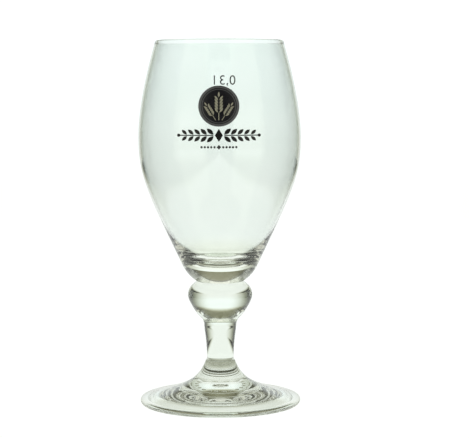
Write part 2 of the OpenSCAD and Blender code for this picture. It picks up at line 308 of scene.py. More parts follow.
class StudioLooks(PropertyGroup):
    """Where the camera and the lights stand. Angles of the panels are from straight behind."""
    camera_distance: length("Distance", "Camera to the glass's axis", 783 * MM)
    camera_height: length("Height", "Camera above the table", 156.4 * MM)
    camera_pitch: turn("Pitch", "How far the camera looks down", 4.71)
    camera_yaw: turn("Yaw", "How far the camera looks to the right of the glass", 0.53)
    camera_roll: turn("Roll", "Turn of the camera about its own axis", 0.15)
    camera_azimuth: turn("Azimuth", "Camera round the glass, to the right", 0.5)
    camera_lens: FloatProperty(name="Lens", description="Focal length in millimetres",
                               default=121.6)
    room_radius: length("Room", "Distance from the glass to the panels", 1.15)
    wall_height: length("Wall height", "Height of the curved wall", 1.3)
    wall_turn: turn("Wall", "Half of the angle that the curved wall spans", 108)
    bright_turn: turn("Bright", "Half of the angle of the wall's evenly bright middle", 10)
    dim_turn: turn("Dim", "Where the wall has fallen to dark", 55)
    bright_height: length("Bright height", "Height up to which the wall is bright", 0.41)
    dim_height: length("Dim height", "Height at which the wall has fallen to dim", 0.65)
    table_light: vivid("Table light", "Light of the table, and of the wall where it meets it",
                       (1.03, 1.06, 1.03))
    wall_low: vivid("Wall low", "Light of the wall's bright middle", (1.1, 1.17, 1.16))
    wall_high: vivid("Wall high", "Light of the wall above", (1.05, 1.03, 0.85))
    dim_tone: colour("Dim tone", "Tone that the studio's light takes on where it is dim",
                     (1.0, 1.0, 0.72))
    wall_dark: share("Wall dark", "Brightness left at the sides, as a share", 0.016)
    wall_top: share("Wall top", "Brightness left above, as a share", 0.245)
    box_from: turn("Boxes from", "Rear edge of the softboxes", 114)
    box_to: turn("Boxes to", "Front edge of the softboxes", 160)
    box_top: length("Box top", "Top of the softboxes", 1.1)
    box_glow: FloatProperty(name="Box glow", description="Brightness of the softboxes", default=0.6)
    box_tone: colour("Box tone", "Tone of the softboxes", (1.0, 0.99, 0.82))
    table_near: length("Table near", "Radius of the table's evenly bright middle", 0.17)
    table_far: length("Table far", "Radius at which its sides have fallen to dark", 0.25)
    strip_start: share("Strip", "Half width of the bright strip that the camera sees, per length",
                       0.155)
    strip_end: share("Strip end", "Where the strip has fallen to dark, per length", 0.33)
    table_front: share("Table front", "Brightness of the table towards the camera, as a share", 0.1)
    box_floor: share("Box floor", "Brightness of the table before the softboxes, as a share", 0.84)
    shade_middle: share("Shade", "Brightness of the table under the middle of the glass", 0.42)
    shade_edge: share("Edge shade", "Brightness of the table under the foot's edge", 0.95)
    shade_ring: share("Shade ring", "How dark the table is close round the foot", 0.5)
    shade_behind: share("Shade behind", "How much darker it is behind the foot than before it",
                        0.433)
    shade_beside: share("Shade beside", "How much lighter it is beside the foot", 0.45)
    shade_radius: length("Shade radius", "Radius at which the shade has ended", 0.079)
    room_low: colour("Room", "Colour of the room behind the camera", (0.1, 0.1, 0.08))
    room_high: colour("Ceiling", "Colour of the ceiling", (1.0, 1.0, 0.92))


# Outlines in metres, as (radius, height)

def heading(degrees):
    """The unit direction at an angle from the radius outwards."""
    return Vector((math.cos(math.radians(degrees)), math.sin(math.radians(degrees))))


def curve(a, b, leaving, reaching, shares, steps):
    """A cubic from a to b, without a itself. The shares say how far each end pulls."""
    a, b = Vector(a), Vector(b)
    chord = (b - a).length
    c = a + heading(leaving) * chord * shares[0]
    d = b - heading(reaching) * chord * shares[1]
    line = []
    for step in range(1, steps + 1):
        t = step / steps
        line.append(a * (1 - t) ** 3 + c * 3 * (1 - t) ** 2 * t
                    + d * 3 * (1 - t) * t * t + b * t ** 3)
    return line


def arc(middle, radius, start, end, steps):
    """A round stretch about a middle, both ends included."""
    middle = Vector(middle)
    return [middle + heading(start + (end - start) * i / steps) * radius for i in range(steps + 1)]


def bowl_outside(s):
    """The bowl's outside, from the neck to the foot of the rim bead."""
    neck = (s.neck_diameter / 2, s.neck_height)
    base = (s.bowl_base_diameter / 2, s.neck_height + s.bowl_base_length)
    belly = (s.belly_diameter / 2, base[1] + s.belly_rise)
    rim = (s.rim_diameter / 2, s.rim_height - s.rim_bead / 2)
    base_turn = UPRIGHT - math.degrees(s.base_slope)
    rim_turn = UPRIGHT + math.degrees(s.rim_slope)
    return [Vector(neck)] + (
        curve(neck, base, NECK_SLOPE, base_turn, BASE_PULL, s.curve_steps)
        + curve(base, belly, base_turn, UPRIGHT, BODY_PULL, s.curve_steps)
        + curve(belly, rim, UPRIGHT, rim_turn, SHOULDER_PULL, s.curve_steps))


def bowl_inside(s):
    """The cavity, from its floor on the axis up to the foot of the rim bead."""
    outside = bowl_outside(s)
    wall = [Vector((p.x - s.wall, p.y)) for p in outside
            if s.neck_height + s.thickening_rise < p.y < s.rim_height - s.rim_bead]
    start = wall[1] - wall[0]
    floor = Vector((0, s.neck_height + s.floor_thickness))
    slope = math.degrees(math.atan2(start.y, start.x))
    return [floor] + curve(floor, wall[0], 0, slope, CAVITY_PULL, s.curve_steps) + wall[1:]


def bowl_outline(s):
    """The bowl's closed section, from the axis at the neck to the axis at the cavity's floor."""
    bead = (s.rim_diameter / 2 - s.rim_bead / 2, s.rim_height - s.rim_bead / 2)
    return ([Vector((0, s.neck_height))] + bowl_outside(s)
            + arc(bead, s.rim_bead / 2, 0, 2 * UPRIGHT, ROUND_STEPS)[1:] + bowl_inside(s)[::-1])


def stem_outline(s):
    """The stem's section: shaft, waist, knop and neck."""
    foot = (s.shaft_foot_diameter / 2, s.foot_height)
    shaft = (s.shaft_top_diameter / 2, foot[1] + s.shaft_length)
    waist = (s.waist_diameter / 2, shaft[1] + s.waist_length)
    knop = (s.knop_diameter / 2, waist[1] + s.knop_lower_length)
    neck = (s.neck_diameter / 2, s.neck_height)
    return ([Vector((0, s.foot_height)), Vector(foot)]
            + curve(foot, shaft, UPRIGHT, SHAFT_TOP_SLOPE, SHAFT_PULL, s.curve_steps)
            + curve(shaft, waist, SHAFT_TOP_SLOPE, WAIST_SLOPE, WAIST_PULL, s.curve_steps)
            + curve(waist, knop, WAIST_SLOPE, UPRIGHT, KNOP_LOWER_PULL, s.curve_steps)
            + curve(knop, neck, UPRIGHT, KNOP_TOP_SLOPE, KNOP_UPPER_PULL, s.curve_steps)
            + [Vector((0, s.neck_height))])


def foot_outline(s):
    """The foot's section, from the axis in the hollow to the axis at the joint."""
    edge = s.foot_edge / 2
    middle = (s.foot_diameter / 2 - edge, edge)
    ring = Vector((middle[0] - s.bearing_ring, 0))
    panel = Vector((s.panel_diameter / 2, s.hollow_depth))
    hollow = curve(ring, panel, RING_SLOPE, FLAT_INWARDS, HOLLOW_PULL, s.curve_steps)[::-1]
    floor = [Vector((panel.x * i / PANEL_STEPS, panel.y)) for i in range(PANEL_STEPS)]
    top = curve((middle[0], s.foot_edge), (s.collar_diameter / 2, s.foot_height),
                EDGE_SLOPE, COLLAR_SLOPE, FOOT_TOP_PULL, s.curve_steps * 2)
    joint = Vector((s.shaft_foot_diameter / 2, s.foot_height))
    return (floor + hollow + [ring] + arc(middle, edge, -UPRIGHT, UPRIGHT, ROUND_STEPS) + top
            + [joint, Vector((0, s.foot_height))])


# Node trees

class Wire:
    """A node's output that takes part in sums as a number does."""

    def __init__(self, board, socket):
        self.board = board
        self.socket = socket

    def sum(self, operation, *values):
        return self.board.add("ShaderNodeMath", {"operation": operation}, dict(enumerate(values)))

    def __add__(self, other):
        return self.sum("ADD", self, other)

    def __sub__(self, other):
        return self.sum("SUBTRACT", self, other)

    def __rsub__(self, other):
        return self.sum("SUBTRACT", other, self)

    def __mul__(self, other):
        return self.sum("MULTIPLY", self, other)

    def __truediv__(self, other):
        return self.sum("DIVIDE", self, other)

    def __rtruediv__(self, other):
        return self.sum("DIVIDE", other, self)

    def __pow__(self, other):
        return self.sum("POWER", self, other)

    def __lt__(self, other):
        return self.sum("LESS_THAN", self, other)

    __radd__ = __add__
    __rmul__ = __mul__

    def at_least(self, other):
        return self.sum("MAXIMUM", self, other)

    def at_most(self, other):
        return self.sum("MINIMUM", self, other)

    def cosine(self):
        return self.sum("COSINE", self)

    def sine(self):
        return self.sum("SINE", self)

    def root(self):
        return self.sum("SQRT", self.at_least(0.0))

    def rounded(self):
        return self.sum("ROUND", self)

    def size(self):
        """The value without its sign."""
        return self.sum("ABSOLUTE", self)

    def angle_to(self, other):
        """The angle of a place from the second axis towards the first, which is this wire."""
        return self.sum("ARCTAN2", self, other)


class Board:
    """A node tree and the one way that nodes get into it."""

    def __init__(self, tree):
        self.tree = tree

    def add(self, kind, settings=None, inputs=None, output=0):
        node = self.tree.nodes.new(kind)
        for name, value in (settings or {}).items():
            setattr(node, name, value)
        for name, value in (inputs or {}).items():
            if isinstance(value, Wire):
                self.tree.links.new(value.socket, node.inputs[name])
            else:
                node.inputs[name].default_value = value
        return Wire(self, node.outputs[output]) if node.outputs else node

    def vector(self, **sides):
        """A vector from its X, Y and Z. A side that isn't given is 0."""
        return self.add("ShaderNodeCombineXYZ", {}, sides)

    def point(self):
        """The place of each point of a geometry."""
        return self.add("GeometryNodeInputPosition")

    def moved(self, geometry, **how):
        """A geometry with its points at a Position or moved by an Offset, or a Selection's."""
        return self.add("GeometryNodeSetPosition", {}, {"Geometry": geometry, **how})

    def merged(self, geometry, distance):
        """A geometry with the points that lie together made one."""
        return self.add("GeometryNodeMergeByDistance", {}, {
            "Geometry": geometry, "Distance": distance})

    def coated(self, geometry, look):
        """A geometry with a material on all its faces."""
        return self.add("GeometryNodeSetMaterial", {}, {"Geometry": geometry, "Material": look})

    def given_back(self, geometry):
        """Ends a geometry tree with what it gives, and returns the tree."""
        self.add("NodeGroupOutput", {}, {"Geometry": geometry})
        return self.tree

    def own_place(self):
        """The place on a shaded object, in its own axes."""
        return self.add("ShaderNodeTexCoord", output="Object")

    def noise(self, place, scale, detail):
        """A cloudy value at a place."""
        return self.add("ShaderNodeTexNoise", {}, {
            "Vector": place, "Scale": scale, "Detail": detail})

    def bump(self, height, strength, distance):
        """A surface direction that is roughened by a height."""
        return self.add("ShaderNodeBump", {}, {
            "Strength": strength, "Distance": distance, "Height": height})

    def shown(self, surface):
        """Ends a material with what its surface shows."""
        self.add("ShaderNodeOutputMaterial", {}, {"Surface": surface})


def coordinates(board, place):
    """The three coordinates of a place, as wires."""
    split = board.add("ShaderNodeSeparateXYZ", {}, {0: place})
    return [Wire(board, split.socket.node.outputs[axis]) for axis in range(3)]


def geometry_board(name, inputs):
    """A geometry tree with a Geometry input and output and the named inputs."""
    tree = bpy.data.node_groups.new(name, "GeometryNodeTree")
    tree.interface.new_socket(name="Geometry", in_out="INPUT", socket_type="NodeSocketGeometry")
    for label, kind in inputs.items():
        tree.interface.new_socket(name=label, in_out="INPUT", socket_type=kind)
    tree.interface.new_socket(name="Geometry", in_out="OUTPUT", socket_type="NodeSocketGeometry")
    board = Board(tree)
    entry = tree.nodes.new("NodeGroupInput")
    wires = {label: Wire(board, entry.outputs[label]) for label in ["Geometry", *inputs]}
    return board, wires


def grown(obj, tree, values):
    """Runs a geometry tree on an object and keeps the result as its plain mesh."""
    modifier = obj.modifiers.new(tree.name, "NODES")
    modifier.node_group = tree
    for item in tree.interface.items_tree:
        if item.in_out == "INPUT" and item.name in values:
            modifier[item.identifier] = values[item.name]
    graph = bpy.context.evaluated_depsgraph_get()
    mesh = bpy.data.meshes.new_from_object(obj.evaluated_get(graph))
    obj.modifiers.remove(modifier)
    spare = obj.data
    obj.data = mesh
    bpy.data.meshes.remove(spare)
    mesh.name = obj.name
    return obj


def new_object(name, points, edges=(), faces=()):
    """A mesh object with its place in its mesh."""
    mesh = bpy.data.meshes.new(name)
    mesh.from_pydata([tuple(p) for p in points], list(edges), list(faces))
    obj = bpy.data.objects.new(name, mesh)
    bpy.context.scene.collection.objects.link(obj)
    return obj


def turning_tree():
    """Turns an outline, drawn as a chain of points at Y 0, about the Z axis."""
    board, given = geometry_board("Turned outline", {
        "Points": "NodeSocketInt", "Segments": "NodeSocketInt", "Material": "NodeSocketMaterial"})
    points = given["Points"] * 1.0
    segments = given["Segments"] * 1.0
    grid = board.add("GeometryNodeMeshGrid", {}, {
        "Size X": points - 1.0, "Size Y": segments,
        "Vertices X": given["Points"], "Vertices Y": segments + 1.0})
    place = board.point()
    grid_x, grid_y, _ = coordinates(board, place)
    along = (grid_x + (points - 1.0) / 2.0).rounded()
    angle = (grid_y / segments + 0.5) * math.tau
    station = board.add("GeometryNodeSampleIndex", {"data_type": "FLOAT_VECTOR", "domain": "POINT"},
                        {"Geometry": given["Geometry"], "Value": place, "Index": along})
    radius, _, height = coordinates(board, station)
    turned = board.vector(X=radius * angle.cosine(), Y=radius * angle.sine(), Z=height)
    closed = board.merged(board.moved(grid, Position=turned), SAME_POLE)
    return board.given_back(board.coated(closed, given["Material"]))


def relief_tree():
    """Presses two rings, a circle of beads and a dome into the underside of the foot."""
    sizes = ["Panel height", "Outer ring", "Inner ring", "Ring section", "Bead circle", "Bead",
             "Dome"]
    board, given = geometry_board("Pressed relief", {
        **{label: "NodeSocketFloat" for label in sizes}, "Beads": "NodeSocketInt"})
    x, y, z = coordinates(board, board.point())
    radius = (x * x + y * y).root()

    def bump(distance, size):
        """Depth of a round bead of one size at a distance from its middle."""
        return (size * size - distance * distance).root()

    outer = bump(radius - given["Outer ring"], given["Ring section"])
    inner = bump(radius - given["Inner ring"], given["Ring section"])
    pitch = math.tau / (given["Beads"] * 1.0)
    angle = y.angle_to(x)
    offset = angle - (angle / pitch).rounded() * pitch
    across = given["Bead circle"] * offset.sine()
    along = radius - given["Bead circle"] * offset.cosine()
    beads = bump((across * across + along * along).root(), given["Bead"])
    spread = given["Dome"] * given["Dome"] + given["Bead"] * given["Bead"]
    curvature = spread / (given["Bead"] * 2.0)
    dome = (bump(radius, curvature) - curvature + given["Bead"]).at_least(0.0)
    depth = outer.at_least(inner).at_least(beads).at_least(dome)
    on_panel = (z - given["Panel height"]).size() < SAME_PANEL
    down = board.vector(Z=depth * on_panel * -1.0)
    return board.given_back(board.moved(given["Geometry"], Offset=down))


def shapes_tree():
    """Draws one flat shape on each point, along X and across Z from the point, turned about Y."""
    board, given = geometry_board("Printed shapes", {
        "Squareness": "NodeSocketFloat", "Sharpness": "NodeSocketFloat",
        "Along": "NodeSocketInt", "Across": "NodeSocketInt"})
    grid = board.add("GeometryNodeMeshGrid", {}, {
        "Size X": 1.0, "Size Y": 1.0, "Vertices X": given["Along"], "Vertices Y": given["Across"]})
    x, y, _ = coordinates(board, board.point())
    along = (x * math.pi).sine()
    bulge = (1.0 - along.size() ** given["Squareness"]).at_least(0.0)
    width = bulge ** given["Sharpness"]
    drawn = board.vector(X=(along + 1.0) / 2.0, Z=y * width)
    shape = board.merged(board.moved(grid, Position=drawn), SAME_TIP)
    size = {name: board.add("GeometryNodeInputNamedAttribute", {"data_type": "FLOAT"},
                            {"Name": name}) for name in SHAPE_VALUES}
    turned = board.vector(Y=size["turn"] * -1.0)
    scaled = board.vector(X=size["length"], Y=1.0, Z=size["width"])
    placed_shapes = board.add("GeometryNodeInstanceOnPoints", {}, {
        "Points": given["Geometry"], "Instance": shape, "Rotation": turned, "Scale": scaled})
    real = board.add("GeometryNodeRealizeInstances", {}, {"Geometry": placed_shapes})
    return board.given_back(real)


def film_tree():
    """Lays flat shapes, drawn in the XZ plane, on a surface of revolution as a closed thin film."""
    board, given = geometry_board("Fired film", {
        "Surface": "NodeSocketObject", "Side": "NodeSocketFloat", "Lift": "NodeSocketFloat",
        "Thickness": "NodeSocketFloat", "Material": "NodeSocketMaterial"})
    surface = board.add("GeometryNodeObjectInfo", {}, {"Object": given["Surface"]},
                        output="Geometry")
    x, _, z = coordinates(board, board.point())
    source = board.vector(X=x, Y=given["Side"] * 1.0, Z=z)
    way = board.vector(Y=given["Side"] * -1.0)
    found = board.add("GeometryNodeRaycast", {}, {
        "Target Geometry": surface, "Source Position": source, "Ray Direction": way,
        "Ray Length": PRINT_REACH}, output="Hit Position")
    hit_x, hit_y, hit_z = coordinates(board, found)
    stretch = 1.0 + given["Lift"] / (hit_x * hit_x + hit_y * hit_y).root()
    on_glass = board.vector(X=hit_x * stretch, Y=hit_y * stretch, Z=hit_z)
    under = board.moved(given["Geometry"], Position=on_glass)
    wall = board.add("GeometryNodeExtrudeMesh", {"mode": "FACES"}, {
        "Mesh": under, "Offset Scale": 0.0, "Individual": False})
    top = Wire(board, wall.socket.node.outputs["Top"])
    x, y, _ = coordinates(board, board.point())
    rise = given["Thickness"] / (x * x + y * y).root()
    outwards = board.vector(X=x * rise, Y=y * rise)
    over = board.moved(wall, Selection=top, Offset=outwards)
    both = board.add("GeometryNodeJoinGeometry", {}, {"Geometry": over})
    board.tree.links.new(under.socket, both.socket.node.inputs["Geometry"])
    real = board.add("GeometryNodeRealizeInstances", {}, {
        "Geometry": board.merged(both, SAME_PLACE)})
    return board.given_back(board.coated(real, given["Material"]))


# Materials

def material(name):
    """An empty material and its board."""
    made = bpy.data.materials.new(name)
    made.use_nodes = True
    made.node_tree.nodes.clear()
    return made, Board(made.node_tree)


def tinted(board, mask, low, high):
    """A colour that goes from low to high, colours or wires, as the mask goes from 0 to 1.

    Inputs 6 and 7 and output 2 are the mix node's colours.
    """
    ends = [end if isinstance(end, Wire) else (*end, 1) for end in (low, high)]
    return board.add("ShaderNodeMix", {"data_type": "RGBA"},
                     {0: mask, 6: ends[0], 7: ends[1]}, output=2)


def glass_material(name, tint, edge, edge_shade_start, ior, deep=None, deep_bottom=0.0, deep_top=1.0):
    """Clear glass, painted darker where it is seen along its surface: a painted shade for its dark
    outline.

    The deep tint is for its thick lower part. Where the weld attribute is 1, two pieces are
    fused and nothing bends.
    """
    made, board = material(name)
    place = board.own_place()
    cords = board.noise(place, CORD_SCALE, CORD_DETAIL)
    paler = tuple(1 - (1 - c) * CORD_TINT for c in tint)
    facing = board.add("ShaderNodeLayerWeight", {}, {"Blend": 0.5}, output="Facing")
    body = tinted(board, cords, tint, paler)
    if deep:
        height = coordinates(board, place)[2]
        body = tinted(board, ease(height, deep_bottom, deep_top), deep, body)
    # Painted shade: where the surface is seen edge-on, the colour darkens to the edge tint
    base = tinted(board, ease(facing, edge_shade_start, 1.0), body, edge)
    bump = board.bump(cords, CORD_STRENGTH, CORD_DEPTH)
    glass = board.add("ShaderNodeBsdfPrincipled", {}, {
        "Base Color": base, "Roughness": 0.0, "IOR": ior, "Transmission Weight": 1.0,
        "Normal": bump})
    clear = board.add("ShaderNodeBsdfTransparent")
    weld = board.add("ShaderNodeAttribute", {"attribute_name": "weld"}, output="Fac")
    mixed = board.add("ShaderNodeMixShader", {}, {0: weld, 1: glass, 2: clear})
    board.shown(mixed)
    return made


def enamel_material(name, tone, roughness, metal=0.0):
    """Fired screen print: a satin film with a fine grain and small thin places."""
    made, board = material(name)
    place = board.own_place()
    grain = board.noise(place, GRAIN_SCALE, GRAIN_DETAIL)
    cloud = board.noise(place, CLOUD_SCALE, CLOUD_DETAIL)
    darker = tuple(c * DARK_TONE for c in tone)
    lighter = tuple(min(1.0, c * LIGHT_TONE + LEAST_TONE) for c in tone)
    base = tinted(board, grain * GRAIN_SHARE + cloud * (1 - GRAIN_SHARE), darker, lighter)
    rough = (cloud - 0.5) * ROUGHNESS_SPREAD + roughness
    bump = board.bump(grain, GRAIN_STRENGTH, GRAIN_DEPTH)
    film = board.add("ShaderNodeBsdfPrincipled", {}, {
        "Base Color": base, "Roughness": rough, "Metallic": metal, "IOR": ENAMEL_INDEX,
        "Normal": bump})
    board.shown(film)
    return made


def glow_material(name, level, tone, dim_tone):
    """A surface of the studio that gives light of its own, at a level worked out over its place."""
    made, board = material(name)
    sides = coordinates(board, board.own_place())
    amount = level(*sides)
    hue = board.add("ShaderNodeVectorMath", {"operation": "MULTIPLY"}, {
        0: tone(*sides) if callable(tone) else tone, 1: tinted(board, amount, dim_tone, (1, 1, 1))})
    light = board.add("ShaderNodeVectorMath", {"operation": "SCALE"}, {0: hue, "Scale": amount})
    glow = board.add("ShaderNodeEmission", {}, {"Color": light, "Strength": 1.0})
    board.shown(glow)
    return made


def ease(value, start, end):
    """Goes smoothly from 0 at the start to 1 at the end."""
    t = ((value - start) / (end - start)).at_least(0.0).at_most(1.0)
    return t * t * (3.0 - t * 2.0)


def wall_material(w):
    """The curved wall: bright behind the glass, and darker to the sides and above."""
    def level(x, y, z):
        turned = x.angle_to(y).size()
        sideways = 1.0 - ease(turned, w.bright_turn, w.dim_turn) * (1 - w.wall_dark)
        upwards = 1.0 - ease(z, w.bright_height, w.dim_height) * (1 - w.wall_top)
        return sideways * upwards

    def tone(x, y, z):
        lower = tinted(z.board, ease(z, *WALL_TONE_RISE), w.table_light, w.wall_low)
        return tinted(z.board, ease(z, w.bright_height, w.dim_height), lower, w.wall_high)
    return glow_material("Wall", level, tone, w.dim_tone)


def table_material(w):
    """The white table: bright where the camera sees it, and darker to the sides."""
    def level(x, y, z):
        radius = (x * x + y * y).root()
        turned = x.angle_to(y).size()
        near = 1.0 - ease(radius, w.table_near, w.table_far)
        ahead = (y + w.camera_distance).at_least(LEAST_AHEAD)
        strip = 1.0 - ease(x.size() / ahead, w.strip_start, w.strip_end)
        front = ease(turned, *FRONT_TURN) * w.table_front
        before_box = ease(turned, w.box_from - BOX_BLUR, w.box_from + BOX_BLUR)
        past_box = ease(turned, w.box_to - BOX_BLUR, w.box_to + BOX_BLUR)
        boxes = before_box * (1.0 - past_box)
        far_boxes = boxes * ease(radius, w.table_far, w.room_radius * BOX_REACH) * w.box_floor
        return near.at_least(strip).at_least(front).at_least(far_boxes)
    return glow_material("Table", level, w.table_light, w.dim_tone)


def shade_material(w, s):
    """What the glass sees of the table below its foot and close round it."""
    def level(x, y, z):
        radius = (x * x + y * y).root()
        middle = 1.0 - ease(radius, *(s.foot_diameter * part for part in MIDDLE_SHADE))
        under = middle * (w.shade_middle - w.shade_edge) + w.shade_edge
        close = 1.0 - ease(radius, s.foot_diameter / 2, w.shade_radius)
        back = y / radius.at_least(MM)
        uneven = 1.0 + back * w.shade_behind + (back * back * 2.0 - 1.0) * w.shade_beside
        outside = (1.0 - close * uneven * w.shade_ring).at_least(0.0)
        covered = 1.0 - ease(radius, *(s.foot_diameter * part for part in FOOT_COVER))
        return outside + (under - outside) * covered
    return glow_material("Shade", level, w.table_light, w.dim_tone)


# Meshes

def tidy(obj, sharp_degrees=35):
    """Points the faces outwards, and shades smoothly but for the sharp edges."""
    work = bmesh.new()
    work.from_mesh(obj.data)
    bmesh.ops.remove_doubles(work, verts=work.verts, dist=SAME_PLACE)
    bmesh.ops.recalc_face_normals(work, faces=work.faces)
    limit = math.radians(sharp_degrees)
    for face in work.faces:
        face.smooth = True
    for edge in work.edges:
        edge.smooth = len(edge.link_faces) == 2 and edge.calc_face_angle(0) < limit
    work.to_mesh(obj.data)
    work.free()
    return obj


def mark_welds(obj, discs):
    """Marks the faces that lie on a fused joint, given as pairs of height and radius."""
    weld = obj.data.attributes.new("weld", "FLOAT", "FACE")
    for face in obj.data.polygons:
        middle = face.center
        on_joint = any(abs(middle.z - height) < SAME_JOINT and middle.xy.length < radius
                       for height, radius in discs)
        weld.data[face.index].value = 1.0 if on_joint else 0.0


def turned_piece(name, outline, look, s):
    """One glass piece, turned from its outline."""
    obj = new_object(name, [(p.x, 0, p.y) for p in outline],
                     [(i, i + 1) for i in range(len(outline) - 1)])
    tree = bpy.data.node_groups.get("Turned outline") or turning_tree()
    grown(obj, tree, {"Points": len(outline), "Segments": s.segments, "Material": look})
    return obj


def leaf_at(x, z, turned, long, wide):
    """The place of one shape: its foot, its turn from the X axis, its length and its width."""
    return x, z, turned, long, wide


def shapes(name, places, squareness, sharpness, along=17, across=7):
    """One object with a flat shape at each place."""
    obj = new_object(name, [(x, 0, z) for x, z, *_ in places])
    for index, label in enumerate(SHAPE_VALUES):
        values = obj.data.attributes.new(label, "FLOAT", "POINT")
        values.data.foreach_set("value", [place[index + 2] for place in places])
    tree = bpy.data.node_groups.get("Printed shapes") or shapes_tree()
    return grown(obj, tree, {"Squareness": squareness, "Sharpness": sharpness,
                             "Along": along, "Across": across})


def ring_shape(name, middle, outside, inside, rings, steps=128):
    """One object with a flat ring, or a disc if its inside is 0."""
    points, faces = [], []
    for i in range(rings + 1):
        radius = inside + (outside - inside) * i / rings
        points += [(radius * math.cos(j * math.tau / steps), 0,
                    middle + radius * math.sin(j * math.tau / steps)) for j in range(steps)]
    for i in range(rings):
        for j in range(steps):
            k, m = i * steps + j, i * steps + (j + 1) % steps
            faces.append((k, m, m + steps, k + steps))
    obj = new_object(name, points, (), faces)
    return merged_doubles(obj)


def merged_doubles(obj):
    """Merges points that lie together, such as those of a pole."""
    work = bmesh.new()
    work.from_mesh(obj.data)
    bmesh.ops.remove_doubles(work, verts=work.verts, dist=SAME_PLACE)
    work.to_mesh(obj.data)
    work.free()
    return obj


def joined(name, parts):
    """Joins flat objects into one."""
    work = bmesh.new()
    for part in parts:
        work.from_mesh(part.data)
    obj = parts[0]
    work.to_mesh(obj.data)
    work.free()
    for part in parts[1:]:
        spare = part.data
        bpy.data.objects.remove(part)
        bpy.data.meshes.remove(spare)
    obj.name = name
    obj.data.name = name
    return obj


def fired(obj, layer, look, p, side=-1):
    """Wraps a flat drawing on the bowl, on the glass or on the layer below it."""
    tree = bpy.data.node_groups.get("Fired film") or film_tree()
    grown(obj, tree, {
        "Surface": bpy.data.objects["bowl_glass"], "Side": float(side), "Material": look,
        "Lift": layer * p.enamel - p.sink, "Thickness": p.enamel + p.sink})
    return tidy(obj)


def placed(obj, slot, *nodes):
    """Rides on the one body and stands for the nodes, which it hides. The slot is not used."""
    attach(obj, BODY)
    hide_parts(*nodes)
    return obj


# Operators

class BuildBowl(Operator):
    """Blown bowl with its thick base, cavity and round rim"""
    bl_idname = "beer_glass.bowl"
    bl_label = "Bowl"

    def execute(self, context):
        s = context.scene.glass_sizes
        looks = context.scene.glass_looks
        # The edge tint is painted shade, a dark outline where the wall is seen edge-on
        look = glass_material("Blown glass", looks.clear, looks.clear_edge_shade, looks.edge_shade_start,
                              looks.ior, looks.deep, looks.deep_bottom, looks.deep_top)
        obj = turned_piece("bowl_glass", bowl_outline(s), look, s)
        tidy(obj)
        mark_welds(obj, [(s.neck_height, s.neck_diameter / 2)])
        placed(obj, "blown_glass", "bowl")
        return {"FINISHED"}


class BuildStem(Operator):
    """Pressed stem: shaft, waist, knop and neck"""
    bl_idname = "beer_glass.stem"
    bl_label = "Stem"

    def execute(self, context):
        s = context.scene.glass_sizes
        looks = context.scene.glass_looks
        # The edge tint is painted shade, a dark outline where the surface is seen edge-on
        look = glass_material("Pressed glass", looks.thick, looks.thick_edge_shade, looks.edge_shade_start,
                              looks.ior)
        obj = turned_piece("stem_glass", stem_outline(s), look, s)
        tidy(obj)
        mark_welds(obj, [(s.neck_height, s.neck_diameter / 2),
                         (s.foot_height, s.shaft_foot_diameter / 2)])
        placed(obj, "pressed_glass", "stem")
        return {"FINISHED"}


class BuildFoot(Operator):
    """Pressed foot with its round edge, hollow and relief"""
    bl_idname = "beer_glass.foot"
    bl_label = "Foot"

    def execute(self, context):
        s = context.scene.glass_sizes
        look = bpy.data.materials["Pressed glass"]
        obj = turned_piece("foot_glass", foot_outline(s), look, s)
        grown(obj, relief_tree(), {
            "Panel height": s.hollow_depth,
            "Outer ring": s.panel_diameter / 2 - s.pressed_ring_radius,
            "Inner ring": s.inner_ring_diameter / 2 - s.pressed_ring_radius,
            "Ring section": s.pressed_ring_radius, "Bead circle": s.bead_circle_diameter / 2,
            "Bead": s.bead_radius, "Dome": s.middle_dome_radius, "Beads": s.bead_count})
        tidy(obj)
        mark_welds(obj, [(s.foot_height, s.shaft_foot_diameter / 2)])
        placed(obj, "pressed_glass", "foot")
        return {"FINISHED"}


def ear(foot_x, foot_z, lean, size, p):
    """Places of one ear's stalk and grains, sized by one length and leaning from upright."""
    stalk, grain = size * STALK_LENGTH, size * GRAIN_LENGTH
    tip = size * EAR_LENGTH - grain
    pitch = (tip - stalk) / p.grain_rows
    width = pitch * math.sin(p.grain_lean) * GRAIN_WIDENING

    def at(across, up, turned, long, wide):
        return leaf_at(foot_x + across * math.cos(lean) + up * math.sin(lean),
                       foot_z - across * math.sin(lean) + up * math.cos(lean),
                       math.pi / 2 - lean - turned, long, wide)
    grains = [at(0, tip, 0, grain, width)]
    for row in range(p.grain_rows):
        for side in (-1, 1):
            grains.append(at(side * size * GRAIN_ROOT, stalk + row * pitch,
                             side * p.grain_lean, grain, width))
    return [at(0, 0, 0, stalk, size * STALK_WIDTH)], grains


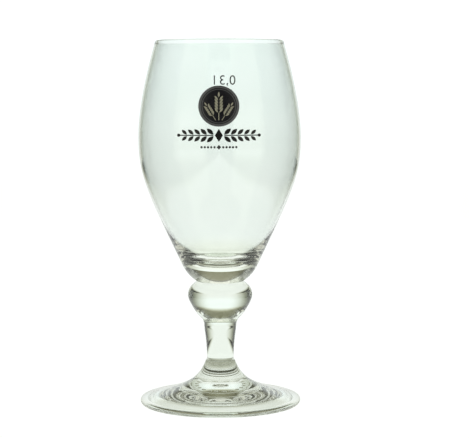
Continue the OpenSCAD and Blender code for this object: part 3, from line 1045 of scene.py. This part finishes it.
class BuildBadge(Operator):
    """Round badge: dark ground, silver rings and a pale sheaf of barley"""
    bl_idname = "beer_glass.badge"
    bl_label = "Badge"

    def execute(self, context):
        p = context.scene.print_sizes
        looks = context.scene.glass_looks
        radius = p.badge_diameter / 2
        ground = ring_shape("badge_disc", p.badge_height, radius, inside=0, rings=24)
        look = enamel_material("Dark enamel", looks.ground, roughness=0.28)
        placed(fired(ground, 0, look, p), "dark_enamel", "badge_ground")
        line = radius - p.ring_width - p.line_gap
        rings = joined("badge_rings", [
            ring_shape("outer", p.badge_height, radius, radius - p.ring_width, rings=3),
            ring_shape("inner", p.badge_height, line, line - p.line_width, rings=1)])
        look = enamel_material("Silver enamel", looks.silver, roughness=0.4, metal=0.35)
        placed(fired(rings, 1, look, p), "silver_enamel", "badge_ring")
        field = line - p.line_width - p.sheaf_margin
        foot = p.badge_height - SHEAF_DROP * field
        stalks, grains = ear(0, foot, 0, field, p)
        for side in (-1, 1):
            more_stalks, more_grains = ear(side * SIDE_EAR_PLACE * field, foot,
                                           side * p.ear_lean, SIDE_EAR_SIZE * field, p)
            stalks += more_stalks
            grains += more_grains
        sheaf = joined("badge_sheaf", [
            shapes("stalks", stalks, *BAR, along=9, across=3), shapes("grains", grains, *LEAF)])
        look = enamel_material("Pale enamel", looks.pale, roughness=0.4)
        placed(fired(sheaf, 1, look, p), "pale_enamel", "badge_motif")
        return {"FINISHED"}


class BuildOrnament(Operator):
    """Black ornament of leaves and the grey row of beads below it"""
    bl_idname = "beer_glass.ornament"
    bl_label = "Ornament"

    def execute(self, context):
        p = context.scene.print_sizes
        looks = context.scene.glass_looks
        z = p.ornament_height
        dot = END_DOT * p.rule_width
        start = LOZENGE_ROOM * p.lozenge_width
        end = p.ornament_width / 2 - dot
        pitch = (end - start - dot) / p.leaf_pairs
        wide = pitch * math.sin(p.leaf_lean) - p.stencil_gap
        leaves, rules, dots = [], [], []
        for side in (-1, 1):
            back = 0 if side > 0 else math.pi
            rules.append(leaf_at(side * start, z, back, end - start, p.rule_width))
            dots.append(leaf_at(side * end - dot, z, 0, 2 * dot, 2 * dot))
            for i in range(p.leaf_pairs):
                share_left = 1 - LEAF_LOSS * i
                for up in (-1, 1):
                    leaves.append(leaf_at(
                        side * (start + i * pitch), z + up * (p.rule_width / 2 + p.stencil_gap),
                        back + side * up * p.leaf_lean, p.leaf_length * share_left,
                        wide * share_left))
        lozenge = leaf_at(0, z - p.lozenge_height / 2, math.pi / 2, p.lozenge_height,
                          p.lozenge_width)
        band = joined("ornament_sprigs", [
            shapes("lozenge", [lozenge], *LOZENGE, along=21, across=11),
            shapes("rules", rules, *BAR, along=41, across=3),
            shapes("dots", dots, *BEAD), shapes("leaves", leaves, *LEAF)])
        look = enamel_material("Black enamel", looks.black, roughness=0.32)
        placed(fired(band, 0, look, p), "dark_enamel", "ornament_band")
        middle = 2 * p.row_bead
        z = p.row_height
        first = middle / 2 + p.row_gap + p.row_bead / 2
        beads = [leaf_at(side * (first + i * (p.row_bead + p.row_gap)) - p.row_bead / 2, z, 0,
                         p.row_bead, p.row_bead)
                 for side in (-1, 1) for i in range(p.row_beads)]
        row = joined("bead_dots", [
            shapes("middle", [leaf_at(0, z - middle / 2, math.pi / 2, middle, middle)],
                   *LOZENGE, along=13, across=7),
            shapes("beads", beads, *BEAD, along=13, across=9)])
        look = enamel_material("Grey enamel", looks.grey, roughness=0.4)
        placed(fired(row, 0, look, p), "grey_enamel", "bead_row")
        return {"FINISHED"}


def written_figure(name, p, context):
    """The volume as a flat drawing above the fill line, mirrored to read from behind."""
    words = bpy.data.curves.new(name, "FONT")
    words.body = p.figure
    words.size = 1
    words.space_character = LETTER_SPACING
    written = bpy.data.objects.new("measure_words", words)
    context.scene.collection.objects.link(written)
    graph = context.evaluated_depsgraph_get()
    mesh = bpy.data.meshes.new_from_object(written.evaluated_get(graph))
    bpy.data.objects.remove(written)
    bpy.data.curves.remove(words)
    left, right = (pick(v.co.x for v in mesh.vertices) for pick in (min, max))
    first_digit = left + (right - left) * FIRST_DIGIT
    digits_low = min(v.co.y for v in mesh.vertices if v.co.x < first_digit)
    high = max(v.co.y for v in mesh.vertices)
    scale = p.figure_height / (high - digits_low)
    foot = p.line_height + p.line_stroke / 2 + p.figure_gap
    for v in mesh.vertices:
        v.co = (p.figure_shift - (v.co.x - (left + right) / 2) * scale, 0,
                foot + (v.co.y - digits_low) * scale)
    figure = bpy.data.objects.new(name, mesh)
    context.scene.collection.objects.link(figure)
    return merged_doubles(figure)


class BuildMeasure(Operator):
    """Fill line and its volume, fired on the back and read from there"""
    bl_idname = "beer_glass.measure"
    bl_label = "Measure"

    def execute(self, context):
        p = context.scene.print_sizes
        look = bpy.data.materials["Grey enamel"]
        stroke = leaf_at(-p.line_length / 2, p.line_height, 0, p.line_length, p.line_stroke)
        line = shapes("measure_line", [stroke], *BAR, along=25, across=3)
        placed(fired(line, 0, look, p, side=1), "grey_enamel", "fill_line")
        figure = written_figure("measure_figure", p, context)
        fired(figure, 0, look, p, side=1)
        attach(figure, BODY)
        return {"FINISHED"}


def panel(name, radius, start, end, low, high, look, steps=32):
    """An upright curved panel round the glass. Angles are from straight behind it."""
    points, faces = [], []
    for i in range(steps + 1):
        a = start + (end - start) * i / steps
        for z in (low, high):
            points.append((radius * math.sin(a), radius * math.cos(a), z))
    for i in range(steps):
        faces.append((2 * i, 2 * i + 1, 2 * i + 3, 2 * i + 2))
    obj = new_object(name, points, (), faces)
    obj.data.materials.append(look)
    return obj


def disc(name, radius, height, look, steps=96):
    """A flat round disc, level with the ground or near it."""
    turns = [math.tau * i / steps for i in range(steps)]
    points = [(radius * math.sin(turned), radius * math.cos(turned), height) for turned in turns]
    obj = new_object(name, points, (), [tuple(range(steps))[::-1]])
    obj.data.materials.append(look)
    return obj


class BuildStage(Operator):
    """Camera, round white table with the glass's shade, bright curved wall and two softboxes"""
    bl_idname = "beer_glass.stage"
    bl_label = "Studio"

    def execute(self, context):
        w = context.scene.studio_looks
        s = context.scene.glass_sizes
        camera = bpy.data.objects.new("Camera", bpy.data.cameras.new("Camera"))
        context.scene.collection.objects.link(camera)
        context.scene.camera = camera
        camera.data.sensor_width = 36
        camera.data.lens = w.camera_lens
        camera.data.clip_start = 0.01
        camera.data.clip_end = 20
        camera.rotation_mode = "XYZ"
        away = Matrix.Rotation(w.camera_azimuth, 4, "Z")
        camera.matrix_world = (
            away @ Matrix.Translation((0, -w.camera_distance, w.camera_height))
            @ Matrix.Rotation(-w.camera_yaw, 4, "Z")
            @ Matrix.Rotation(math.pi / 2 - w.camera_pitch, 4, "X")
            @ Matrix.Rotation(-w.camera_roll, 4, "Z"))
        radius = w.room_radius
        table = disc("table", radius, -TABLE_DROP, table_material(w))
        shade = disc("shade", w.shade_radius, 0, shade_material(w, s))
        shade.visible_camera = False
        wall = panel("wall", radius, -w.wall_turn, w.wall_turn, -MM, w.wall_height,
                     wall_material(w))
        parts = [table, shade, wall]
        box_light = [w.box_glow * c for c in w.box_tone]
        bright = glow_material("Softbox", lambda x, y, z: x * 0.0 + 1.0, box_light, w.dim_tone)
        for side in (-1, 1):
            parts.append(panel("softbox", radius, side * w.box_from, side * w.box_to,
                               -MM, w.box_top, bright))
        for part in parts:
            follow = part.constraints.new("COPY_ROTATION")
            follow.target = camera
            follow.use_x = False
            follow.use_y = False
        world = bpy.data.worlds.new("Room")
        world.use_nodes = True
        board = Board(world.node_tree)
        place = board.add("ShaderNodeTexCoord", output="Generated")
        upwards = coordinates(board, place)[2]
        sky = tinted(board, ease(upwards, *CEILING_RISE), w.room_low, w.room_high)
        world.node_tree.links.new(sky.socket, world.node_tree.nodes["Background"].inputs["Color"])
        context.scene.world = world
        context.scene.view_settings.view_transform = "Standard"
        context.scene.cycles.max_bounces = 32
        context.scene.cycles.transmission_bounces = 32
        context.scene.cycles.glossy_bounces = 16
        context.scene.cycles.transparent_max_bounces = 32
        return {"FINISHED"}


class GlassPanel(Panel):
    """Lists the pieces of the glass"""
    bl_label = "Beer glass"
    bl_idname = "VIEW3D_PT_beer_glass"
    bl_space_type = "VIEW_3D"
    bl_region_type = "UI"
    bl_category = "Beer glass"

    def draw(self, context):
        for step in STEPS:
            self.layout.operator(step.bl_idname)


STEPS = (BuildBowl, BuildStem, BuildFoot, BuildBadge, BuildOrnament, BuildMeasure, BuildStage)
CLASSES = (GlassSizes, PrintSizes, GlassLooks, StudioLooks, *STEPS, GlassPanel)


def register():
    for item in CLASSES:
        bpy.utils.register_class(item)
    bpy.types.Scene.glass_sizes = PointerProperty(type=GlassSizes)
    bpy.types.Scene.print_sizes = PointerProperty(type=PrintSizes)
    bpy.types.Scene.glass_looks = PointerProperty(type=GlassLooks)
    bpy.types.Scene.studio_looks = PointerProperty(type=StudioLooks)


def unregister():
    del bpy.types.Scene.studio_looks
    del bpy.types.Scene.glass_looks
    del bpy.types.Scene.print_sizes
    del bpy.types.Scene.glass_sizes
    for item in reversed(CLASSES):
        bpy.utils.unregister_class(item)


def main():
    register()
    bpy.ops.beer_glass.bowl()
    bpy.ops.beer_glass.stem()
    bpy.ops.beer_glass.foot()
    bpy.ops.beer_glass.badge()
    bpy.ops.beer_glass.ornament()
    bpy.ops.beer_glass.measure()
    bpy.ops.beer_glass.stage()


if __name__ == "__main__":
    main()
